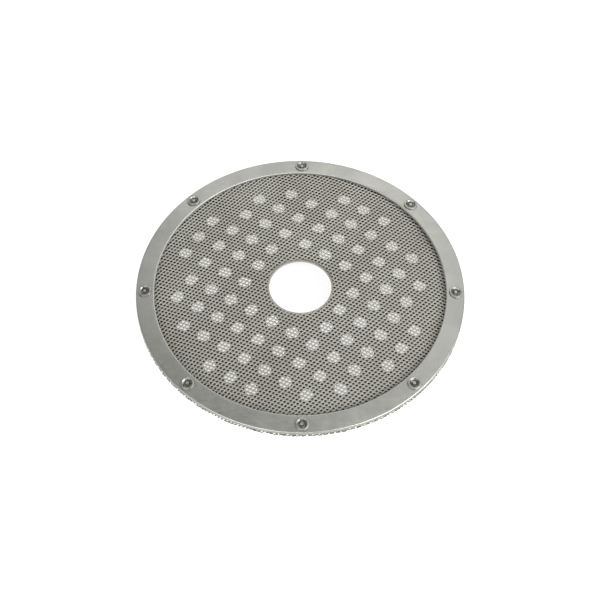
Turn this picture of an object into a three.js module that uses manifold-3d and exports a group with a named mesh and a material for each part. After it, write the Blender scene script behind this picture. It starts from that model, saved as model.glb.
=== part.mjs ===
// Round gas-burner head: a dished port plate under an expanded-metal mesh, held by a riveted clamp ring.
// Units are millimetres. +Z is up, the flame side. The origin is on the axis, level with the lowest point.
import * as THREE from 'three';
import { mergeVertices } from 'three/addons/utils/BufferGeometryUtils.js';
import Module from 'manifold-3d';

// Driving dimensions.
const HEAD_DIAMETER = 160;
const DISH_RADIUS = 410;
const CENTRE_HOLE_DIAMETER = 30.2;
const CENTRE_LAND_DIAMETER = 38;

const RING_WIDTH = 9;
const RING_THICKNESS = 2;
const RING_EDGE_BREAK = 0.35;

const MESH_THICKNESS = 1.2;
const MESH_HOLE_DIAMETER = 32;

const PLATE_DIAMETER = 156.8;
const PLATE_THICKNESS = 0.8;
const PORT_DIAMETER = 6.2;
const PORT_PITCH = 11.8;
const PORT_GRID_TURN = THREE.MathUtils.degToRad(-32.8);
const PORT_GRID_SHIFT = -0.75;
const PORT_INNER_LIMIT = 2;
const PORT_OUTER_LIMIT = 26;
const PORT_SIDES = 10;

const BACKING_OUTER_DIAMETER = 155.6;
const BACKING_INNER_DIAMETER = 143;
const BACKING_THICKNESS = 1.5;

const RIVET_ANGLES = [0, 44, 90, 135.3, 181.2, 225.5, 271.2, 316.3];
const RIVET_CIRCLE_DIAMETER = 151.2;
const RIVET_SHANK_DIAMETER = 3.2;
const RIVET_HOLE_DIAMETER = 3.6;
const RIVET_FLANGE_DIAMETER = 6.6;
const RIVET_FLANGE_HEIGHT = 0.9;
const RIVET_RECESS_DIAMETER = 4.6;
const RIVET_RECESS_DEPTH = 0.6;
const RIVET_BORE_DIAMETER = 2;
const RIVET_TAIL_DIAMETER = 4.8;
const RIVET_TAIL_HEIGHT = 2.2;
const MANDREL_DIAMETER = 1.8;
const MANDREL_HEAD_DIAMETER = 2.9;
const MANDREL_HEAD_HEIGHT = 1.3;

const LAYER_GAP = 0.1;
const RIVET_GAP = 0.15;
const RING_SIDES = 64;
const RIVET_SIDES = 10;

// Radii where the dish changes slope, so that every layer bends along the same circles.
const RING_INNER_RADIUS = HEAD_DIAMETER / 2 - RING_WIDTH;
const DISH_KNOTS = [CENTRE_LAND_DIAMETER / 2, 40, 57, RING_INNER_RADIUS, HEAD_DIAMETER / 2];

// Heights of the layers above the mesh's top surface, which is the datum of the dish.
const RING_UNDERSIDE = LAYER_GAP;
const PLATE_TOP = -MESH_THICKNESS - LAYER_GAP;
const BACKING_TOP = PLATE_TOP - PLATE_THICKNESS - LAYER_GAP;
const STACK_TOP = RING_UNDERSIDE + RING_THICKNESS;
const STACK_BOTTOM = BACKING_TOP - BACKING_THICKNESS;

const wasm = await Module();
wasm.setup();

function material(name, colour, roughness, metalness) {
  return new THREE.MeshStandardMaterial({ name, color: colour, roughness, metalness });
}

const ringSteel = () => material('satin stainless steel', 0xb2b2ae, 0.4, 1);
const meshSteel = () => material('expanded heat-resistant steel', 0xa59f95, 0.45, 1);
const plateSteel = () => material('dark plate steel', 0x4c4842, 0.6, 0.8);
const backingSteel = () => material('plain stainless steel', 0xa6a6a2, 0.45, 1);
const rivetSteel = () => material('rivet steel', 0xb8b8b3, 0.35, 1);
const mandrelSteel = () => material('mandrel steel', 0x8b8c8c, 0.5, 1);

// Height of the dish at a radius: a sphere between the knots' radii in straight slopes, flat at the centre.
function dishHeight(radius) {
  const sphere = (r) => Math.sqrt(DISH_RADIUS ** 2 - r ** 2) - DISH_RADIUS;
  if (radius <= DISH_KNOTS[0]) {
    return sphere(DISH_KNOTS[0]);
  }
  const outer = DISH_KNOTS.findIndex((knot) => radius <= knot + 1e-9);
  const low = DISH_KNOTS[outer - 1];
  const high = DISH_KNOTS[outer];
  return THREE.MathUtils.mapLinear(radius, low, high, sphere(low), sphere(high));
}

// A body turned about +Z from an anticlockwise (radius, height) outline.
function turned(outline, sides) {
  const points = outline.map(([radius, height]) => new THREE.Vector2(radius, height));
  return new THREE.LatheGeometry(points, sides).rotateX(Math.PI / 2);
}

// A dished annulus between two radii and two heights above the datum surface.
function dishedAnnulus(innerRadius, outerRadius, bottom, top, edgeBreak = 0) {
  const knots = DISH_KNOTS.filter((knot) => knot > innerRadius + 1e-6 && knot < outerRadius - 1e-6);
  const at = (radius, height) => [radius, dishHeight(radius) + height];
  const under = [innerRadius, ...knots, outerRadius].map((radius) => at(radius, bottom));
  const over = [outerRadius, ...knots.slice().reverse(), innerRadius].map((radius) => at(radius, top));
  if (edgeBreak > 0) {
    over[0] = at(outerRadius - edgeBreak, top);
    over[over.length - 1] = at(innerRadius + edgeBreak, top);
    over.unshift([outerRadius, dishHeight(outerRadius) + top - edgeBreak]);
    over.push([innerRadius, dishHeight(innerRadius) + top - edgeBreak]);
  }
  return turned([...under, ...over, under[0]], RING_SIDES);
}

function toSolid(geometry) {
  const bare = geometry.clone();
  bare.deleteAttribute('normal');
  bare.deleteAttribute('uv');
  const merged = mergeVertices(bare, 1e-4);
  const vertProperties = new Float32Array(merged.attributes.position.array);
  const triVerts = new Uint32Array(merged.index.array);
  return new wasm.Manifold(new wasm.Mesh({ numProp: 3, vertProperties, triVerts }));
}

function toGeometry(solid) {
  const { vertProperties, triVerts } = solid.getMesh();
  const geometry = new THREE.BufferGeometry();
  geometry.setAttribute('position', new THREE.BufferAttribute(vertProperties, 3));
  geometry.setIndex(new THREE.BufferAttribute(triVerts, 1));
  geometry.computeVertexNormals();
  return geometry;
}

function cutAway(geometry, cutters) {
  const solid = cutters.reduce((rest, cutter) => rest.subtract(toSolid(cutter)), toSolid(geometry));
  return toGeometry(solid);
}

// Where each rivet stands: on the ring's top surface, its axis square to the slope.
const RIVET_RADIUS = RIVET_CIRCLE_DIAMETER / 2;
const RIVET_RISE = dishHeight(RIVET_RADIUS) + STACK_TOP;
const RIM_SLOPE = Math.atan2(dishHeight(RING_INNER_RADIUS) - dishHeight(HEAD_DIAMETER / 2), RING_WIDTH);

function rivetPlaces() {
  return RIVET_ANGLES.map((angle) => {
    const around = new THREE.Matrix4().makeRotationZ(THREE.MathUtils.degToRad(angle));
    const out = new THREE.Matrix4().makeTranslation(RIVET_RADIUS, 0, RIVET_RISE);
    const lean = new THREE.Matrix4().makeRotationY(RIM_SLOPE);
    return around.multiply(out).multiply(lean);
  });
}

function rivetHoles() {
  const length = 4 * (STACK_TOP - STACK_BOTTOM);
  return rivetPlaces().map((place) => {
    const radius = RIVET_HOLE_DIAMETER / 2;
    const drill = new THREE.CylinderGeometry(radius, radius, length, RIVET_SIDES).rotateX(Math.PI / 2);
    return drill.applyMatrix4(place);
  });
}

// The ports: every point of a square grid in a ring of squared grid distances.
function portCentres() {
  const reach = Math.floor(Math.sqrt(PORT_OUTER_LIMIT));
  const steps = Array.from({ length: 2 * reach + 1 }, (unused, index) => index - reach);
  const grid = steps.flatMap((across) => steps.map((along) => new THREE.Vector2(across, along)));
  return grid
    .filter((cell) => cell.lengthSq() > PORT_INNER_LIMIT && cell.lengthSq() <= PORT_OUTER_LIMIT)
    .map((cell) => cell.multiplyScalar(PORT_PITCH).rotateAround(new THREE.Vector2(), PORT_GRID_TURN))
    .map((centre) => centre.add(new THREE.Vector2(PORT_GRID_SHIFT, 0)));
}

function portPunches() {
  const radius = PORT_DIAMETER / 2;
  const length = 4 * PLATE_THICKNESS;
  return portCentres().map((centre) => {
    const punch = new THREE.CylinderGeometry(radius, radius, length, PORT_SIDES).rotateX(Math.PI / 2);
    return punch.translate(centre.x, centre.y, dishHeight(centre.length()) + PLATE_TOP - PLATE_THICKNESS / 2);
  });
}

function clampRing() {
  const outerRadius = HEAD_DIAMETER / 2;
  const blank = dishedAnnulus(RING_INNER_RADIUS, outerRadius, RING_UNDERSIDE, STACK_TOP, RING_EDGE_BREAK);
  return new THREE.Mesh(cutAway(blank, rivetHoles()), ringSteel());
}

// The mesh as a solid sheet, as thick as its tilted strands stand.
function meshScreen() {
  const blank = dishedAnnulus(MESH_HOLE_DIAMETER / 2, HEAD_DIAMETER / 2, -MESH_THICKNESS, 0);
  return new THREE.Mesh(cutAway(blank, rivetHoles()), meshSteel());
}

function portPlate() {
  const floor = PLATE_TOP - PLATE_THICKNESS;
  const blank = dishedAnnulus(CENTRE_HOLE_DIAMETER / 2, PLATE_DIAMETER / 2, floor, PLATE_TOP);
  return new THREE.Mesh(cutAway(blank, [...rivetHoles(), ...portPunches()]), plateSteel());
}

function backingRing() {
  const inner = BACKING_INNER_DIAMETER / 2;
  const blank = dishedAnnulus(inner, BACKING_OUTER_DIAMETER / 2, STACK_BOTTOM, BACKING_TOP);
  return new THREE.Mesh(cutAway(blank, rivetHoles()), backingSteel());
}

// A set blind rivet, along its own axis: height 0 is the ring's top surface, the tail is below.
const RIVET_GRIP = (STACK_TOP - STACK_BOTTOM) * Math.cos(RIM_SLOPE);
const TAIL_TOP = -RIVET_GRIP - RIVET_GAP;
const TAIL_BOTTOM = TAIL_TOP - RIVET_TAIL_HEIGHT;

function rivetBody() {
  const bore = RIVET_BORE_DIAMETER / 2;
  const shank = RIVET_SHANK_DIAMETER / 2;
  const tail = RIVET_TAIL_DIAMETER / 2;
  const flange = RIVET_FLANGE_DIAMETER / 2;
  const recess = RIVET_RECESS_DIAMETER / 2;
  const seat = RIVET_GAP;
  const crest = seat + RIVET_FLANGE_HEIGHT;
  const outline = [
    [bore, TAIL_BOTTOM],
    [shank, TAIL_BOTTOM],
    [tail, TAIL_BOTTOM + RIVET_TAIL_HEIGHT / 2],
    [tail - 0.4, TAIL_TOP],
    [shank, TAIL_TOP],
    [shank, seat],
    [flange, seat],
    [flange, seat + 0.25],
    [flange - 0.6, crest - 0.1],
    [recess + 0.15, crest],
    [recess - 0.2, crest - RIVET_RECESS_DEPTH],
    [bore, crest - RIVET_RECESS_DEPTH - 0.2],
    [bore, TAIL_BOTTOM],
  ];
  return new THREE.Mesh(turned(outline, RIVET_SIDES), rivetSteel());
}

function rivetMandrel() {
  const stem = MANDREL_DIAMETER / 2;
  const head = MANDREL_HEAD_DIAMETER / 2;
  const headTop = TAIL_BOTTOM - LAYER_GAP;
  const headBottom = headTop - MANDREL_HEAD_HEIGHT;
  const breakHeight = RIVET_GAP + RIVET_FLANGE_HEIGHT - 0.25;
  const outline = [
    [0, headBottom],
    [head - 0.3, headBottom],
    [head, headBottom + 0.3],
    [head, headTop],
    [stem, headTop],
    [stem, breakHeight],
    [0, breakHeight],
  ];
  return new THREE.Mesh(turned(outline, RIVET_SIDES), mandrelSteel());
}

function named(mesh, name) {
  mesh.name = name;
  return mesh;
}

const burnerHead = new THREE.Group();
burnerHead.add(
  named(clampRing(), 'clamp_ring'),
  named(meshScreen(), 'mesh_screen'),
  named(portPlate(), 'port_plate'),
  named(backingRing(), 'backing_ring'),
);
rivetPlaces().forEach((place, index) => {
  const rivet = new THREE.Group();
  rivet.add(named(rivetBody(), `rivet_body_${index + 1}`));
  rivet.add(named(rivetMandrel(), `rivet_mandrel_${index + 1}`));
  rivet.applyMatrix4(place);
  burnerHead.add(rivet);
});

// Stand the head on the mandrel heads, its lowest points.
burnerHead.position.z = -new THREE.Box3().setFromObject(burnerHead, true).min.z;

export default burnerHead;
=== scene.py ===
"""The look of a round gas-burner head: expanded-metal mesh over a dished port plate, under a riveted ring.

Everything is in metres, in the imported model's frame: +Z is up, the flame side, on the head's axis.
"""

import math

import bpy
import numpy as np
from mathutils import Matrix, Vector, geometry


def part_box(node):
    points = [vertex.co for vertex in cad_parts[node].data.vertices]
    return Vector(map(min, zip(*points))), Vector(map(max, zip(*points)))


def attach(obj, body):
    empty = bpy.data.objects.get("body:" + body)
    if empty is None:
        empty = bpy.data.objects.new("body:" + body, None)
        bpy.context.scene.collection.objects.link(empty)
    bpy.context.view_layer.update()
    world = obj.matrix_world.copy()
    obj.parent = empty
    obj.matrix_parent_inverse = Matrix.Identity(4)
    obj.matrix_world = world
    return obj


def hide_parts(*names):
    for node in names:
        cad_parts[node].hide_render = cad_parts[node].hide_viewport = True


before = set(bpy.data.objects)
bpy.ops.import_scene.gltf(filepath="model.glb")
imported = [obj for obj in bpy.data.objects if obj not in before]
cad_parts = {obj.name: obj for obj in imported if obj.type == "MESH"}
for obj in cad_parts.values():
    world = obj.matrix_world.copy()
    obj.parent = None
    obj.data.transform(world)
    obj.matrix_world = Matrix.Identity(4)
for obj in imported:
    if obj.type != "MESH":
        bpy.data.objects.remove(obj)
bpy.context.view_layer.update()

MM = 0.001
rng = np.random.default_rng(7)


# ---------------------------------------------------------------- measures, many of them from the frame

DISH_RADIUS = 410 * MM
LAND_RADIUS = 19 * MM


def sphere_drop(radius):
    """Height lost by a sphere of the dish's radius at a distance from its axis, as a negative number."""
    return np.sqrt(DISH_RADIUS**2 - np.square(radius)) - DISH_RADIUS


DISH_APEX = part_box("mesh_screen")[1].z - sphere_drop(LAND_RADIUS)


def dish_height(radius):
    """Height of the mesh's top, which every layer follows: a sphere, flat round the centre hole."""
    return DISH_APEX + sphere_drop(np.maximum(radius, LAND_RADIUS))


def measured(node):
    """(inner radius, outer radius, height of the top face above the dish) of a CAD node."""
    points = np.array([vertex.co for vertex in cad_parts[node].data.vertices])
    radii = np.hypot(points[:, 0], points[:, 1])
    return radii.min(), radii.max(), (points[:, 2] - dish_height(radii)).max()


RING_INNER, HEAD_RADIUS, RING_TOP = measured("clamp_ring")
MESH_HOLE_RADIUS, MESH_RADIUS = measured("mesh_screen")[:2]
HOLE_RADIUS, PLATE_RADIUS, PLATE_TOP = measured("port_plate")
BACKING_INNER, BACKING_OUTER, BACKING_TOP = measured("backing_ring")

RING_THICKNESS = 2.0 * MM
PLATE_THICKNESS = 0.8 * MM
BACKING_THICKNESS = 1.5 * MM
STACK_BOTTOM = BACKING_TOP - BACKING_THICKNESS

RIVET_COUNT = 8
RIVET_CIRCLE_RADIUS = 75.6 * MM
RIVET_HOLE_RADIUS = 1.8 * MM
RIM_SLOPE = math.atan2(dish_height(RING_INNER) - dish_height(HEAD_RADIUS), HEAD_RADIUS - RING_INNER)

PORT_RADIUS = 3.1 * MM
PORT_PITCH = 11.8 * MM
PORT_GRID_TURN = math.radians(-32.8)
PORT_GRID_SHIFT = -0.75 * MM
PORT_INNER_LIMIT = 2  # squared distances from the centre, in pitches
PORT_OUTER_LIMIT = 26


# ---------------------------------------------------------------- pieces from vertices and faces

CREASE = math.radians(38)
HOLE_CLEARANCE = 0.45  # of the spacing between points
SAME_PLACE = 0.001 * MM
FILL_EPSILON = 1e-9


def make_piece(name, body, node, material):
    """A smooth-shaded mesh that stands for one CAD node. Edges bent by more than CREASE stay sharp."""
    vertices, faces = body
    mesh = bpy.data.meshes.new(name)
    mesh.from_pydata(vertices, [], faces)
    mesh.polygons.foreach_set("use_smooth", [True] * len(mesh.polygons))
    mesh.set_sharp_from_angle(angle=CREASE)
    mesh.materials.append(material)
    piece = bpy.data.objects.new(name, mesh)
    bpy.context.scene.collection.objects.link(piece)
    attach(piece, "root")
    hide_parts(node)
    return piece


def weigh_normals(piece):
    """Keeps the shading of a flat face level right up to its rounded edge."""
    weighted = piece.modifiers.new("weighted_normals", "WEIGHTED_NORMAL")
    weighted.keep_sharp = True


def circle_points(centre, radius, count, turn=0.0):
    angles = turn + np.arange(count) * math.tau / count
    return np.asarray(centre) + radius * np.column_stack([np.cos(angles), np.sin(angles)])


class Loop:
    """A round boundary of a sheet. outward is 1 for the sheet's outer edge and -1 for a hole in it."""

    def __init__(self, centre, radius, segments, outward=-1, rounding=0.0):
        self.centre = np.array(centre, float)
        self.segments = segments
        self.outward = outward
        self.rounding = rounding
        self.face_radius = radius - outward * rounding

    def points(self):
        return circle_points(self.centre, self.face_radius, self.segments)

    def distance(self, points):
        return np.hypot(*(points - self.centre).T)


def fill_points(outer, holes, spacing):
    """Rows of points round the axis, from the centre hole to the outer edge, clear of every hole."""
    centre_hole = holes[0]
    rows = max(2, round((outer.face_radius - centre_hole.face_radius) / spacing))
    radii = np.linspace(centre_hole.face_radius, outer.face_radius, rows + 1)[1:-1]
    counts = [round(math.tau * radius / spacing) for radius in radii]
    circles = [circle_points((0, 0), r, n, turn=spacing / r / 2) for r, n in zip(radii, counts)]
    points = np.concatenate(circles)
    for hole in holes:
        points = points[hole.distance(points) > hole.face_radius + HOLE_CLEARANCE * spacing]
    return points


def flat_faces(outer, holes, spacing):
    """Plan points and triangles of a sheet between its outer edge and its holes."""
    points, edges = [], []
    for loop in [outer, *holes]:
        first = sum(len(part) for part in points)
        points.append(loop.points())
        edges += [(first + i, first + (i + 1) % loop.segments) for i in range(loop.segments)]
    points = np.concatenate([*points, fill_points(outer, holes, spacing)])
    made = geometry.delaunay_2d_cdt([Vector(point) for point in points], edges, [], 0, FILL_EPSILON, False)
    plan = np.array([tuple(point) for point in made[0]])
    triangles = np.array(made[2])
    middles = plan[triangles].mean(axis=1)
    inside = np.all([hole.distance(middles) > hole.face_radius for hole in holes], axis=0)
    return plan, triangles[inside]


EDGE_STEPS = 4


def edge_rows(rounding, thickness):
    """(outward shift, drop below the top face) of the rows of points down the edge of a sheet."""
    if rounding == 0:
        return [(0, 0), (0, thickness)]
    turns = np.linspace(0, math.pi / 2, EDGE_STEPS + 1)
    upper = [(rounding * math.sin(turn), rounding * (1 - math.cos(turn))) for turn in turns]
    lower = [(shift, thickness - drop) for shift, drop in reversed(upper)]
    return upper + lower


def lifted(plan, height):
    """Plan points raised to a height above the dish."""
    return np.column_stack([plan, dish_height(np.hypot(*plan.T)) + height])


def dished_sheet(outer, holes, top, thickness, spacing):
    """Vertices and faces of a sheet that follows the dish, its top face at a height above it."""
    plan, triangles = flat_faces(outer, holes, spacing)
    count = len(plan)
    vertices = [lifted(plan, top), lifted(plan, top - thickness)]
    faces = triangles.tolist() + (triangles[:, ::-1] + count).tolist()
    edges = {(t[i], t[(i + 1) % 3]) for t in triangles.tolist() for i in range(3)}
    following = {start: end for start, end in edges if (end, start) not in edges}
    total = 2 * count
    for loop in [outer, *holes]:
        off_loop = np.abs(loop.distance(plan) - loop.face_radius)
        here = [i for i in following if off_loop[i] < SAME_PLACE]
        spokes = plan[here] - loop.centre
        outward = loop.outward * spokes / np.hypot(*spokes.T)[:, None]
        rows = [{i: i for i in here}]
        for shift, drop in edge_rows(loop.rounding, thickness)[1:-1]:
            vertices.append(lifted(plan[here] + shift * outward, top - drop))
            rows.append({i: total + k for k, i in enumerate(here)})
            total += len(here)
        rows.append({i: i + count for i in here})
        for upper, lower in zip(rows, rows[1:]):
            faces += [(upper[i], lower[i], lower[following[i]], upper[following[i]]) for i in here]
    return np.concatenate(vertices), faces


def turned(outline, steps, place, closed):
    """Vertices and faces of an anticlockwise (radius, height) outline, turned about its axis, in place."""
    vertices, rows, faces = [], [], []
    for radius, height in outline:
        around = steps if radius > 0 else 1
        rows.append(range(len(vertices), len(vertices) + around))
        for point in circle_points((0, 0), radius, around):
            vertices.append(place @ Vector((*point, height)))
    if closed:
        rows.append(rows[0])
    for lower, upper in zip(rows, rows[1:]):
        for k in range(steps):
            corners = [lower[k % len(lower)], lower[(k + 1) % len(lower)]]
            corners += [upper[(k + 1) % len(upper)], upper[k % len(upper)]]
            faces.append(list(dict.fromkeys(corners)))
    return vertices, faces


def arc(centre, radius, start, end, steps):
    """Outline points on an arc, from one angle in degrees to another."""
    angles = np.radians(np.linspace(start, end, steps + 1))
    return [(centre[0] + radius * math.cos(a), centre[1] + radius * math.sin(a)) for a in angles]


# ---------------------------------------------------------------- materials

NOISE_SPAN = (0.3, 0.7)  # noise rarely goes beyond these


class Shader:
    """A Principled material, with short ways to add the nodes that drive it."""

    def __init__(self, name):
        self.material = bpy.data.materials.new(name)
        self.material.use_nodes = True
        self.tree = self.material.node_tree
        self.surface = self.tree.nodes["Principled BSDF"]
        self.place = self.tree.nodes.new("ShaderNodeTexCoord").outputs["Object"]

    def feed(self, socket, value):
        """Gives a socket a value, or another node's output."""
        if isinstance(value, bpy.types.NodeSocket):
            self.tree.links.new(value, socket)
        else:
            socket.default_value = value

    def set(self, **values):
        for name, value in values.items():
            self.feed(self.surface.inputs[name.replace("_", " ").title()], value)

    def noise(self, size, detail, place=None):
        """Noise from 0 to 1 whose features are about so large, in metres."""
        node = self.tree.nodes.new("ShaderNodeTexNoise")
        self.feed(node.inputs["Vector"], place or self.place)
        self.feed(node.inputs["Scale"], 1 / size)
        self.feed(node.inputs["Detail"], detail)
        return node.outputs["Fac"]

    def stretched(self, factors):
        """The place with each axis scaled, so that a pattern on it runs along the axis with the least."""
        node = self.tree.nodes.new("ShaderNodeVectorMath")
        node.operation = "MULTIPLY"
        self.feed(node.inputs[0], self.place)
        self.feed(node.inputs[1], factors)
        return node.outputs["Vector"]

    def math(self, operation, *values):
        node = self.tree.nodes.new("ShaderNodeMath")
        node.operation = operation
        for socket, value in zip(node.inputs, values):
            self.feed(socket, value)
        return node.outputs["Value"]

    def remap(self, value, low, high, new_low, new_high):
        """Value from low to high, read off between two new values and held beyond them."""
        node = self.tree.nodes.new("ShaderNodeMapRange")
        for name, number in (("Value", value), ("From Min", low), ("From Max", high)):
            self.feed(node.inputs[name], number)
        self.feed(node.inputs["To Min"], new_low)
        self.feed(node.inputs["To Max"], new_high)
        return node.outputs["Result"]

    def mix(self, factor, first, second):
        """A colour between two colours."""
        node = self.tree.nodes.new("ShaderNodeMix")
        node.data_type = "RGBA"
        colour_inputs = [socket for socket in node.inputs if socket.type == "RGBA"]
        self.feed(node.inputs["Factor"], factor)
        for socket, colour in zip(colour_inputs, (first, second)):
            self.feed(socket, colour)
        return next(socket for socket in node.outputs if socket.type == "RGBA")

    def patched(self, pattern, first, second):
        """A colour that a noise pattern sways between two colours."""
        return self.mix(self.remap(pattern, *NOISE_SPAN, 0, 1), first, second)

    def bump(self, *layers):
        """Bumps from (height from 0 to 1, depth in metres) layers, each added to the one before."""
        normal = None
        for height, depth in layers:
            node = self.tree.nodes.new("ShaderNodeBump")
            self.feed(node.inputs["Height"], height)
            self.feed(node.inputs["Distance"], depth)
            if normal:
                self.feed(node.inputs["Normal"], normal)
            normal = node.outputs["Normal"]
        self.feed(self.surface.inputs["Normal"], normal)

    def axis_distance(self):
        """Distance from the head's axis."""
        split = self.tree.nodes.new("ShaderNodeSeparateXYZ")
        self.feed(split.inputs[0], self.place)
        x, y = split.outputs["X"], split.outputs["Y"]
        squares = [self.math("MULTIPLY", side, side) for side in (x, y)]
        return self.math("SQRT", self.math("ADD", *squares))

    def attribute(self, name):
        """A number stored on each vertex, such as mark_recess_shade's."""
        node = self.tree.nodes.new("ShaderNodeAttribute")
        node.attribute_name = name
        return node.outputs["Fac"]


def grey(value, yellow=0.0, red=0.0):
    """A linear grey, tinted by so much less blue and more red."""
    return (value * (1 + red), value, value * (1 - yellow), 1.0)


# distances in from an edge between which a change of finish comes or goes, with a painted highlight on the
# ring's inner edge and painted shade on the mesh's ends and the plate
SHEARED_AND_HIGHLIGHT_BAND = (0.25 * MM, 0.6 * MM)
MESH_ENDS_SHADE_BAND = (1.4 * MM, 0.9 * MM)
UNSHADED_LIP_BAND = (0.8 * MM, 1.4 * MM)

SHEARED_DULLNESS = 0.2


def clamp_ring_steel():
    """Mill-finished stainless strip: rolling lines, handling marks, a dull sheared inner edge, painted
    paler there as a painted highlight along it.
    """
    shader = Shader("clamp_ring_steel")
    rolling = shader.noise(0.5 * MM, 4, shader.stretched((0.04, 1.0, 0.3)))
    clouds = shader.noise(14 * MM, 3)
    marks = shader.noise(2.5 * MM, 5)
    # the sheared inner edge band is duller, and painted paler: a painted highlight for the light the edge
    # catches
    band = [RING_INNER + offset for offset in SHEARED_AND_HIGHLIGHT_BAND]
    sheared_edge_and_highlight = shader.remap(shader.axis_distance(), *band, 1, 0)
    face_tone = shader.patched(clouds, grey(0.302, 0.07), grey(0.366, 0.075))
    face_roughness = shader.remap(shader.math("ADD", rolling, marks), 0.7, 1.3, 0.36, 0.48)
    shader.set(
        metallic=1.0,
        base_color=shader.mix(sheared_edge_and_highlight, face_tone, grey(0.42, 0.06)),
        roughness=shader.math("ADD", face_roughness, shader.math("MULTIPLY", sheared_edge_and_highlight, SHEARED_DULLNESS)),
    )
    shader.bump((rolling, 0.006 * MM), (clouds, 0.15 * MM))
    return shader.material


def mesh_steel():
    """Expanded sheet with a dull, patchy film of oxide, and cut ends at the rim painted dark: partly oxide,
    partly painted shade from under the clamp ring.
    """
    shader = Shader("mesh_steel")
    patches = shader.noise(22 * MM, 3)
    specks = shader.noise(0.8 * MM, 3)
    # the cut ends at the rim are painted dark: partly oxide, partly painted shade where the clamp ring
    # hangs over them
    band = [MESH_RADIUS - offset for offset in MESH_ENDS_SHADE_BAND]
    ends = shader.remap(shader.axis_distance(), *band, 0, 1)
    face_tone = shader.patched(patches, grey(0.255, 0.13, 0.03), grey(0.312, 0.11, 0.02))
    shader.set(
        metallic=0.5,
        base_color=shader.mix(ends, face_tone, grey(0.13, 0.1, 0.05)),
        roughness=shader.remap(specks, *NOISE_SPAN, 0.54, 0.66),
    )
    shader.bump((specks, 0.02 * MM))
    return shader.material


def port_plate_steel():
    """Sheet painted dark, partly oxide and partly painted shade from the mesh over it, mottled with scale
    over a faint rolling grain, and paler round the centre hole, where no mesh covers it.
    """
    shader = Shader("port_plate_steel")
    scale = shader.noise(5 * MM, 5)
    grain = shader.noise(0.4 * MM, 3, shader.stretched((1.0, 0.05, 0.3)))
    # the face is painted dark as painted shade under the mesh, partly oxide; the bare lip round the centre
    # hole keeps a paler tone
    band = [HOLE_RADIUS + offset for offset in UNSHADED_LIP_BAND]
    unshaded_lip = shader.remap(shader.axis_distance(), *band, 1, 0)
    face_tone = shader.patched(scale, grey(0.05, 0.16, 0.06), grey(0.09, 0.10, 0.04))
    shader.set(
        metallic=0.75,
        base_color=shader.mix(unshaded_lip, face_tone, grey(0.33, 0.08)),
        roughness=shader.remap(grain, *NOISE_SPAN, 0.48, 0.66),
    )
    shader.bump((grain, 0.01 * MM), (scale, 0.03 * MM))
    return shader.material


def backing_steel():
    """Plain stainless strip, duller than the clamp ring because it is out of sight."""
    shader = Shader("backing_steel")
    rolling = shader.noise(0.5 * MM, 4, shader.stretched((1.0, 0.04, 0.3)))
    clouds = shader.noise(9 * MM, 4)
    shader.set(
        metallic=1.0,
        base_color=shader.patched(clouds, grey(0.36, 0.06), grey(0.47, 0.05)),
        roughness=shader.remap(rolling, *NOISE_SPAN, 0.38, 0.5),
    )
    shader.bump((rolling, 0.008 * MM))
    return shader.material


def rivet_steel():
    """Plated steel, softly dimpled where the setting tool pressed it, with patchy painted shade down in the
    recess.
    """
    shader = Shader("rivet_steel")
    dimples = shader.noise(0.9 * MM, 3)
    film = shader.noise(3 * MM, 4)
    # the recess is painted dark toward its floor: painted shade, broken into patches by the dimple noise
    recess_shade = shader.math("MULTIPLY", shader.attribute("recess_shade"), shader.remap(dimples, 0.35, 0.6, 0.45, 1))
    flange_tone = shader.patched(film, grey(0.27, 0.07), grey(0.33, 0.07))
    shader.set(
        metallic=1.0,
        base_color=shader.mix(recess_shade, flange_tone, grey(0.05, 0.03)),
        roughness=shader.remap(film, *NOISE_SPAN, 0.34, 0.46),
    )
    shader.bump((dimples, 0.04 * MM))
    return shader.material


def mandrel_steel():
    """Darker steel with a torn grain, as a snapped mandrel has."""
    shader = Shader("mandrel_steel")
    tear = shader.noise(0.25 * MM, 4)
    film = shader.noise(1.5 * MM, 3)
    shader.set(
        metallic=1.0,
        base_color=shader.patched(film, grey(0.20, 0.05), grey(0.42, 0.04)),
        roughness=shader.remap(tear, *NOISE_SPAN, 0.35, 0.6),
    )
    shader.bump((tear, 0.06 * MM))
    return shader.material


# ---------------------------------------------------------------- clamp ring, port plate, backing ring

RIM_SEGMENTS = 288
HOLE_SEGMENTS = 144
RIVET_HOLE_SEGMENTS = 24
PORT_SEGMENTS = 40
RING_OUTER_ROUNDING = 0.5 * MM
RING_INNER_ROUNDING = 0.7 * MM
BACKING_ROUNDING = 0.22 * MM
PLATE_ROUNDING = 0.12 * MM
RING_SPACING = 1.6 * MM
PLATE_SPACING = 2.5 * MM


def rivet_angles():
    """Directions of the CAD rivets from the axis, in the order of their numbers."""
    nodes = [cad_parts[f"rivet_body_{index}"] for index in range(1, RIVET_COUNT + 1)]
    middles = [np.mean([vertex.co for vertex in node.data.vertices], axis=0) for node in nodes]
    return [math.atan2(y, x) for x, y, _ in middles]


def rivet_hole_loops():
    headings = [np.array([math.cos(angle), math.sin(angle)]) for angle in rivet_angles()]
    return [Loop(RIVET_CIRCLE_RADIUS * h, RIVET_HOLE_RADIUS, RIVET_HOLE_SEGMENTS) for h in headings]


def port_centres():
    """Every point of a turned square grid that lies in a ring of squared grid distances."""
    across, along = math.cos(PORT_GRID_TURN), math.sin(PORT_GRID_TURN)
    reach = math.isqrt(PORT_OUTER_LIMIT)
    cells = [(i, j) for i in range(-reach, reach + 1) for j in range(-reach, reach + 1)]
    kept = [(i, j) for i, j in cells if PORT_INNER_LIMIT < i * i + j * j <= PORT_OUTER_LIMIT]
    return [
        (PORT_PITCH * (i * across - j * along) + PORT_GRID_SHIFT, PORT_PITCH * (i * along + j * across))
        for i, j in kept
    ]


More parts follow.
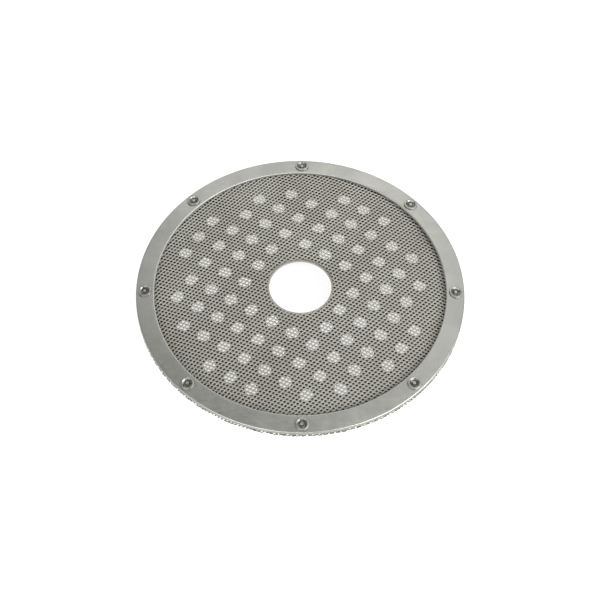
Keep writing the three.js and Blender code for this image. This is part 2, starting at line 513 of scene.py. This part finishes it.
def make_clamp_ring():
    outer = Loop((0, 0), HEAD_RADIUS, RIM_SEGMENTS, 1, RING_OUTER_ROUNDING)
    inner = Loop((0, 0), RING_INNER, RIM_SEGMENTS, -1, RING_INNER_ROUNDING)
    body = dished_sheet(outer, [inner, *rivet_hole_loops()], RING_TOP, RING_THICKNESS, RING_SPACING)
    weigh_normals(make_piece("clamp_ring_strip", body, "clamp_ring", clamp_ring_steel()))


def make_port_plate():
    outer = Loop((0, 0), PLATE_RADIUS, RIM_SEGMENTS, 1, PLATE_ROUNDING)
    centre_hole = Loop((0, 0), HOLE_RADIUS, HOLE_SEGMENTS, -1, PLATE_ROUNDING)
    ports = [Loop(centre, PORT_RADIUS, PORT_SEGMENTS, -1, PLATE_ROUNDING) for centre in port_centres()]
    holes = [centre_hole, *ports, *rivet_hole_loops()]
    body = dished_sheet(outer, holes, PLATE_TOP, PLATE_THICKNESS, PLATE_SPACING)
    weigh_normals(make_piece("port_plate_sheet", body, "port_plate", port_plate_steel()))


def make_backing_ring():
    outer = Loop((0, 0), BACKING_OUTER, RIM_SEGMENTS, 1, BACKING_ROUNDING)
    inner = Loop((0, 0), BACKING_INNER, RIM_SEGMENTS, -1, BACKING_ROUNDING)
    holes = [inner, *rivet_hole_loops()]
    body = dished_sheet(outer, holes, BACKING_TOP, BACKING_THICKNESS, RING_SPACING)
    weigh_normals(make_piece("backing_ring_strip", body, "backing_ring", backing_steel()))


# ---------------------------------------------------------------- the expanded-metal mesh

DIAMOND_LENGTH = 2.936 * MM
DIAMOND_WIDTH = 2.168 * MM
LENGTH_HEADING = 11.83  # degrees anticlockwise from +X
WIDTH_HEADING = 101.5
LENGTH_SHIFT = -0.145 * MM
WIDTH_SHIFT = -0.245 * MM
STRAND_WIDTH = 0.5 * MM
STRAND_THICKNESS = 0.7 * MM
STRAND_TILT = math.radians(-33)
BOND_LENGTH = 0.6 * MM
MESH_DEPTH = 0.6 * MM
CUT_RAGGEDNESS = 0.35 * MM
END_REACH = -0.05 * MM
END_DROOP = 0.45 * MM
END_DROOP_LIMIT = 1.2
GRID_REACH = 1.1 * HEAD_RADIUS
LOW_TOP, LOW_BOTTOM, HIGH_TOP, HIGH_BOTTOM = range(4)


def heading_vector(degrees):
    return np.array([math.cos(math.radians(degrees)), math.sin(math.radians(degrees))])


class MeshGrid:
    """The strips of an expanded sheet, each along the diamonds. Its corners 2m and 2m + 1 are bond m.

    A strip is joined to the next one at its raised bonds and to the one before at its lowered bonds.
    """

    def __init__(self):
        strips = math.ceil(GRID_REACH / DIAMOND_WIDTH) * 2
        bonds = math.ceil(GRID_REACH / DIAMOND_LENGTH) * 2
        self.strip, self.corner = np.meshgrid(
            np.arange(-strips, strips + 1), np.arange(-2 * bonds, 2 * bonds + 2), indexing="ij"
        )
        self.bond = self.corner // 2
        self.raised = (self.bond + self.strip) % 2 == 0

    def edge_points(self, edge, face):
        """Points (along, across, height) on one edge of every strip.

        edge and face say which: 1 for the upper one, -1 for the lower.
        """
        bond_side = np.where(self.corner % 2, 0.5, -0.5)
        along = self.bond * DIAMOND_LENGTH / 2 + bond_side * BOND_LENGTH
        swing = np.where(self.raised, 1, -1)
        level, rise = math.cos(STRAND_TILT), math.sin(STRAND_TILT)
        reach = (edge - swing) * STRAND_WIDTH / 2
        across = self.strip * DIAMOND_WIDTH / 2 + swing * DIAMOND_WIDTH / 4 + reach * level
        height = reach * rise
        across = across - face * rise * STRAND_THICKNESS / 2
        height = height + face * level * STRAND_THICKNESS / 2
        return np.stack([along, across, height], axis=-1)


def mesh_vertices(points):
    """Where the strips' points lie on the dish, cut off raggedly at the rim, and which are inside."""
    plan = (
        (points[:, 0] + LENGTH_SHIFT)[:, None] * heading_vector(LENGTH_HEADING)
        + (points[:, 1] + WIDTH_SHIFT)[:, None] * heading_vector(WIDTH_HEADING)
    )
    radii = np.hypot(*plan.T)
    inside = (radii > MESH_HOLE_RADIUS) & (radii < MESH_RADIUS)
    rim = MESH_RADIUS + END_REACH - rng.uniform(0, CUT_RAGGEDNESS, len(radii))
    cut = np.clip(radii, MESH_HOLE_RADIUS, rim)
    past_plate = (cut - PLATE_RADIUS) / (MESH_RADIUS - PLATE_RADIUS)
    droop = END_DROOP * np.clip(past_plate, 0, END_DROOP_LIMIT)
    heights = dish_height(cut) - MESH_DEPTH - droop + points[:, 2]
    return np.column_stack([plan * (cut / radii)[:, None], heights]), inside


def shifted(mask, rows, columns):
    """The mask moved on by so many rows and columns, False where nothing moves in."""
    padded = np.pad(mask, 1)
    height, width = mask.shape
    return padded[1 - rows : 1 - rows + height, 1 - columns : 1 - columns + width]


def mesh_faces(grid, number, inside):
    """Four-cornered faces of the strands: top, bottom, sides where no strip is joined on, and cut ends."""
    here, there = number[:, :-1], number[:, 1:]
    present = inside[here[..., ::2]].any(axis=-1) | inside[there[..., ::2]].any(axis=-1)
    raised_bond = grid.raised[:, :-1] & (grid.corner[:, :-1] % 2 == 0)
    up_joined = present & raised_bond & shifted(present, -1, 0)
    down_joined = shifted(up_joined, 1, 0)
    at_start = present & ~shifted(present, 0, 1)
    at_end = present & ~shifted(present, 0, -1)
    faces = []
    for wanted, corners in (
        (present, [(here, LOW_TOP), (there, LOW_TOP), (there, HIGH_TOP), (here, HIGH_TOP)]),
        (present, [(here, HIGH_BOTTOM), (there, HIGH_BOTTOM), (there, LOW_BOTTOM), (here, LOW_BOTTOM)]),
        (
            present & ~up_joined,
            [(here, HIGH_TOP), (there, HIGH_TOP), (there, HIGH_BOTTOM), (here, HIGH_BOTTOM)],
        ),
        (
            present & ~down_joined,
            [(here, LOW_BOTTOM), (there, LOW_BOTTOM), (there, LOW_TOP), (here, LOW_TOP)],
        ),
        (at_start, [(here, LOW_BOTTOM), (here, LOW_TOP), (here, HIGH_TOP), (here, HIGH_BOTTOM)]),
        (at_end, [(there, HIGH_BOTTOM), (there, HIGH_TOP), (there, LOW_TOP), (there, LOW_BOTTOM)]),
    ):
        faces.append(np.stack([ends[wanted][:, side] for ends, side in corners], axis=1))
    return np.concatenate(faces)


def mesh_screen_body():
    """Vertices and faces of the strands, each strip sharing its raised bonds' upper edges with the next."""
    grid = MeshGrid()
    sides = [grid.edge_points(edge, face) for edge in (-1, 1) for face in (1, -1)]
    points = np.stack(sides, axis=2).reshape(-1, 3)
    number = np.arange(len(points)).reshape(*grid.strip.shape, len(sides))
    joined = ~grid.raised[1:]
    number[1:, :, LOW_TOP][joined] = number[:-1, :, HIGH_TOP][joined]
    number[1:, :, LOW_BOTTOM][joined] = number[:-1, :, HIGH_BOTTOM][joined]
    vertices, inside = mesh_vertices(points)
    used, faces = np.unique(mesh_faces(grid, number, inside), return_inverse=True)
    return vertices[used], faces.reshape(-1, 4).tolist()


def make_mesh_screen():
    make_piece("expanded_mesh", mesh_screen_body(), "mesh_screen", mesh_steel())


# ---------------------------------------------------------------- rivets

RIVET_STEPS = 40
RIVET_SEAT = 0.03 * MM
RIVET_SHANK = 1.6 * MM
RIVET_FLANGE = 3.3 * MM
RIVET_CREST = 0.75 * MM
RIVET_RECESS = 2.35 * MM
RIVET_RECESS_FLOOR = 1.7 * MM
RIVET_RECESS_DEPTH = 0.6 * MM
RIVET_BORE = 1.0 * MM
TAIL_RADIUS = 2.4 * MM
TAIL_HEIGHT = 2.2 * MM
TAIL_GAP = 0.15 * MM
TAIL_TOP = (STACK_BOTTOM - RING_TOP) * math.cos(RIM_SLOPE) - TAIL_GAP
TAIL_BOTTOM = TAIL_TOP - TAIL_HEIGHT
MANDREL_STEM = 0.9 * MM
MANDREL_HEAD = 1.45 * MM
MANDREL_HEAD_HEIGHT = 1.3 * MM
MANDREL_BREAK = 0.6 * MM
MANDREL_OFFSET = 0.06 * MM
RECESS_UNEVENNESS = 0.16 * MM
RECESS_WAVES = 3
RECESS_LIP = 0.25 * MM
RECESS_FLARE = 0.1 * MM
RECESS_SAG = 0.02 * MM
UNEVEN_REACH = 0.3 * MM
RECESS_SHADE_MARGIN = 0.02 * MM
FLANGE_EDGE = 0.18 * MM
FLANGE_TAPER = 0.1 * MM
BORE_CHAMFER = 0.15 * MM
TAIL_SHOULDER = 0.4 * MM
MANDREL_CORNER = 0.3 * MM
MANDREL_GAP = 0.1 * MM
BREAK_PROFILE = ((0, -0.3), (-0.12, -0.06), (-0.35, 0))  # mm out from the stem's side, mm up from the break
BREAK_DIP = 0.1 * MM


def rivet_place(angle):
    """A frame on the clamp ring's top face, its +Z square to the slope of the rim."""
    height = dish_height(RIVET_CIRCLE_RADIUS) + RING_TOP
    around = Matrix.Rotation(angle, 4, "Z")
    out = Matrix.Translation((RIVET_CIRCLE_RADIUS, 0, height))
    return around @ out @ Matrix.Rotation(RIM_SLOPE, 4, "Y")


def rivet_body_outline():
    """The sleeve: bulged tail, shank, flange with a worn edge, and a conical recess down to the bore."""
    floor = RIVET_CREST - RIVET_RECESS_DEPTH
    bulge = 0.5 * TAIL_HEIGHT
    flange_edge = (RIVET_FLANGE - FLANGE_EDGE, RIVET_CREST - FLANGE_EDGE - FLANGE_TAPER)
    return [
        (RIVET_BORE, TAIL_BOTTOM),
        *arc((TAIL_RADIUS - bulge, TAIL_BOTTOM + bulge), bulge, -75, 0, 6),
        *arc((TAIL_RADIUS - TAIL_SHOULDER, TAIL_TOP - TAIL_SHOULDER), TAIL_SHOULDER, 0, 90, 4),
        (RIVET_SHANK, TAIL_TOP),
        (RIVET_SHANK, RIVET_SEAT),
        (RIVET_FLANGE - FLANGE_TAPER, RIVET_SEAT),
        *arc(flange_edge, FLANGE_EDGE, 0, 85, 5),
        *arc((RIVET_RECESS + RECESS_LIP, RIVET_CREST - RECESS_LIP), RECESS_LIP, 85, 140, 5),
        *arc((RIVET_RECESS_FLOOR + RECESS_FLARE, floor + RECESS_LIP), RECESS_LIP, -40, -90, 3),
        (RIVET_BORE + BORE_CHAMFER, floor - RECESS_SAG),
        (RIVET_BORE, floor - BORE_CHAMFER),
    ]


def mark_recess_shade(piece, place):
    """Stores how much painted shade each vertex gets: wholly on the recess's floor, not at all near its lip
    or outside.
    """
    local = np.array([place.inverted() @ vertex.co for vertex in piece.data.vertices])
    inside = np.hypot(local[:, 0], local[:, 1]) < RIVET_RECESS + RECESS_SHADE_MARGIN
    depth = np.clip(2 * (RIVET_CREST - local[:, 2]) / RIVET_RECESS_DEPTH - 1, 0, 1)
    recess_shade = piece.data.attributes.new("recess_shade", "FLOAT", "POINT")
    recess_shade.data.foreach_set("value", (inside * depth).astype(np.float32))


def mandrel_outline():
    """The snapped mandrel: a head under the tail, a stem, and a worn broken end in the recess."""
    head_top = TAIL_BOTTOM - MANDREL_GAP
    head_bottom = head_top - MANDREL_HEAD_HEIGHT
    return [
        (0, head_bottom),
        *arc((MANDREL_HEAD - MANDREL_CORNER, head_bottom + MANDREL_CORNER), MANDREL_CORNER, -90, 0, 4),
        (MANDREL_HEAD, head_top),
        (MANDREL_STEM, head_top),
        *[(MANDREL_STEM + out * MM, MANDREL_BREAK + up * MM) for out, up in BREAK_PROFILE],
        (0, MANDREL_BREAK - BREAK_DIP),
    ]


def uneven(body, place):
    """The body with the walls of its recess pushed in and out, differently for each rivet."""
    vertices, faces = body
    phases = rng.uniform(0, math.tau, RECESS_WAVES)
    sizes = rng.uniform(0.5, 1.0, RECESS_WAVES) * RECESS_UNEVENNESS
    moved = []
    for vertex in vertices:
        local = place.inverted() @ vertex
        radius, angle = math.hypot(local.x, local.y), math.atan2(local.y, local.x)
        if RIVET_BORE < radius < RIVET_RECESS + UNEVEN_REACH and local.z > 0:
            waves = enumerate(zip(sizes, phases), start=1)
            swell = sum(size * math.sin(wave * angle + phase) for wave, (size, phase) in waves)
            local *= 1 + swell * (RIVET_CREST - local.z) / (RIVET_RECESS_DEPTH * radius)
        moved.append(place @ local)
    return moved, faces


def snapped_place(place):
    """Where a snapped mandrel stands: a little off its rivet's axis."""
    offset = rng.uniform(-MANDREL_OFFSET, MANDREL_OFFSET, 2)
    return place @ Matrix.Translation((*offset, 0))


def make_rivets():
    body_steel, stem_steel = rivet_steel(), mandrel_steel()
    for index, angle in enumerate(rivet_angles(), start=1):
        place = rivet_place(angle)
        body = uneven(turned(rivet_body_outline(), RIVET_STEPS, place, closed=True), place)
        piece = make_piece(f"rivet_{index}", body, f"rivet_body_{index}", body_steel)
        mark_recess_shade(piece, place)
        stem = turned(mandrel_outline(), RIVET_STEPS, snapped_place(place), closed=False)
        make_piece(f"mandrel_{index}", stem, f"rivet_mandrel_{index}", stem_steel)


# ---------------------------------------------------------------- floor, light and camera

FLOOR_RADIUS = 6.0
FLOOR_CORNERS = 96
FLOOR_GLOW = 0.8
WORLD_STRENGTH = 0.35
SOFTBOX_DISTANCE = 2.0
SOFTBOX_SIZE = 1.6
SOFTBOXES = (  # name, azimuth and elevation in degrees, power in watts
    ("key_front_right", 330, 35, 64),
    ("fill_front_left", 240, 35, 35),
    ("back_right", 60, 35, 5.5),
    ("back_right_high", 60, 62, 4.7),
    ("back", 90, 35, 7.2),
    ("back_left", 120, 35, 3.0),
)
LOOK_AT = Vector((0, 0, float(dish_height(HEAD_RADIUS) + RING_TOP)))


def make_floor():
    shader = Shader("floor_white")
    grain = shader.noise(0.4, 2)
    shader.set(
        base_color=shader.mix(grain, grey(0.32), grey(0.34)),
        roughness=0.9,
        emission_color=grey(1.0),
        emission_strength=FLOOR_GLOW,
    )
    mesh = bpy.data.meshes.new("floor")
    rim = circle_points((0, 0), FLOOR_RADIUS, FLOOR_CORNERS)
    mesh.from_pydata([(x, y, 0.0) for x, y in rim], [], [range(len(rim))])
    mesh.materials.append(shader.material)
    floor = bpy.data.objects.new("floor", mesh)
    bpy.context.scene.collection.objects.link(floor)


def direction(azimuth, elevation):
    """A unit vector, its azimuth in degrees anticlockwise from +X."""
    a, e = math.radians(azimuth), math.radians(elevation)
    return Vector((math.cos(a) * math.cos(e), math.sin(a) * math.cos(e), math.sin(e)))


def softbox(name, azimuth, elevation, power):
    """A large square lamp aimed at the head."""
    lamp = bpy.data.lights.new(name, "AREA")
    lamp.size = SOFTBOX_SIZE
    lamp.energy = power
    box = bpy.data.objects.new(name, lamp)
    towards = direction(azimuth, elevation)
    box.location = LOOK_AT + towards * SOFTBOX_DISTANCE
    box.rotation_mode = "QUATERNION"
    box.rotation_quaternion = towards.to_track_quat("Z", "Y")
    bpy.context.scene.collection.objects.link(box)


def make_light():
    world = bpy.data.worlds.new("studio")
    world.use_nodes = True
    background = world.node_tree.nodes["Background"]
    background.inputs["Color"].default_value = grey(1.0)
    background.inputs["Strength"].default_value = WORLD_STRENGTH
    bpy.context.scene.world = world
    for lamp in SOFTBOXES:
        softbox(*lamp)


CAMERA_DISTANCE = 1.141
CAMERA_ELEVATION = 56.12
CAMERA_ROLL = math.radians(0.754)
CAMERA_LENS = 140.6
CAMERA_SENSOR = 36.0
CAMERA_SIDESTEP = -0.14 * MM
CAMERA_LOWERING = -4.16 * MM


def make_camera():
    camera = bpy.data.objects.new("camera", bpy.data.cameras.new("camera"))
    camera.data.lens = CAMERA_LENS
    camera.data.sensor_width = CAMERA_SENSOR
    back = direction(-90, CAMERA_ELEVATION)
    right = Matrix.Rotation(CAMERA_ROLL, 3, back) @ Vector((1, 0, 0))
    up = back.cross(right)
    axes = Matrix((right, up, back)).transposed()
    camera.rotation_mode = "QUATERNION"
    camera.rotation_quaternion = axes.to_quaternion()
    camera.location = LOOK_AT + back * CAMERA_DISTANCE + right * CAMERA_SIDESTEP + up * CAMERA_LOWERING
    bpy.context.scene.collection.objects.link(camera)
    bpy.context.scene.camera = camera


make_camera()
make_light()
make_floor()
make_clamp_ring()
make_mesh_screen()
make_port_plate()
make_backing_ring()
make_rivets()
bpy.context.scene.view_settings.view_transform = "Standard"
